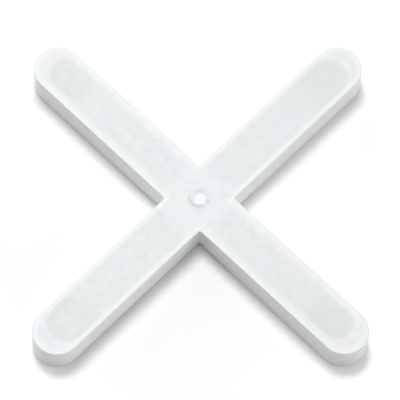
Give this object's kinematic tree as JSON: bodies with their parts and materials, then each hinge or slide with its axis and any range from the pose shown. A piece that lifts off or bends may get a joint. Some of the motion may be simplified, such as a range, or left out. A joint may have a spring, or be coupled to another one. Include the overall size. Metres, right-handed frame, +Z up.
{
  "type": "tile spacer",
  "caption": "Cross-shaped plastic spacer with round-ended arms that sets an even joint between the corners of neighbouring tiles.",
  "frame": {"origin": "centre of the underside, below the hub and its gate well", "axes": "+Z up out of the face that carries the gate well, +X and +Y along two neighbouring arms"},
  "size_m": [0.045, 0.045, 0.0035],
  "materials": {
    "white_plastic": "milky white moulded plastic with a soft shine"
  },
  "bodies": {
    "root": {"tile_spacer": "white_plastic"}
  },
  "joints": []
}
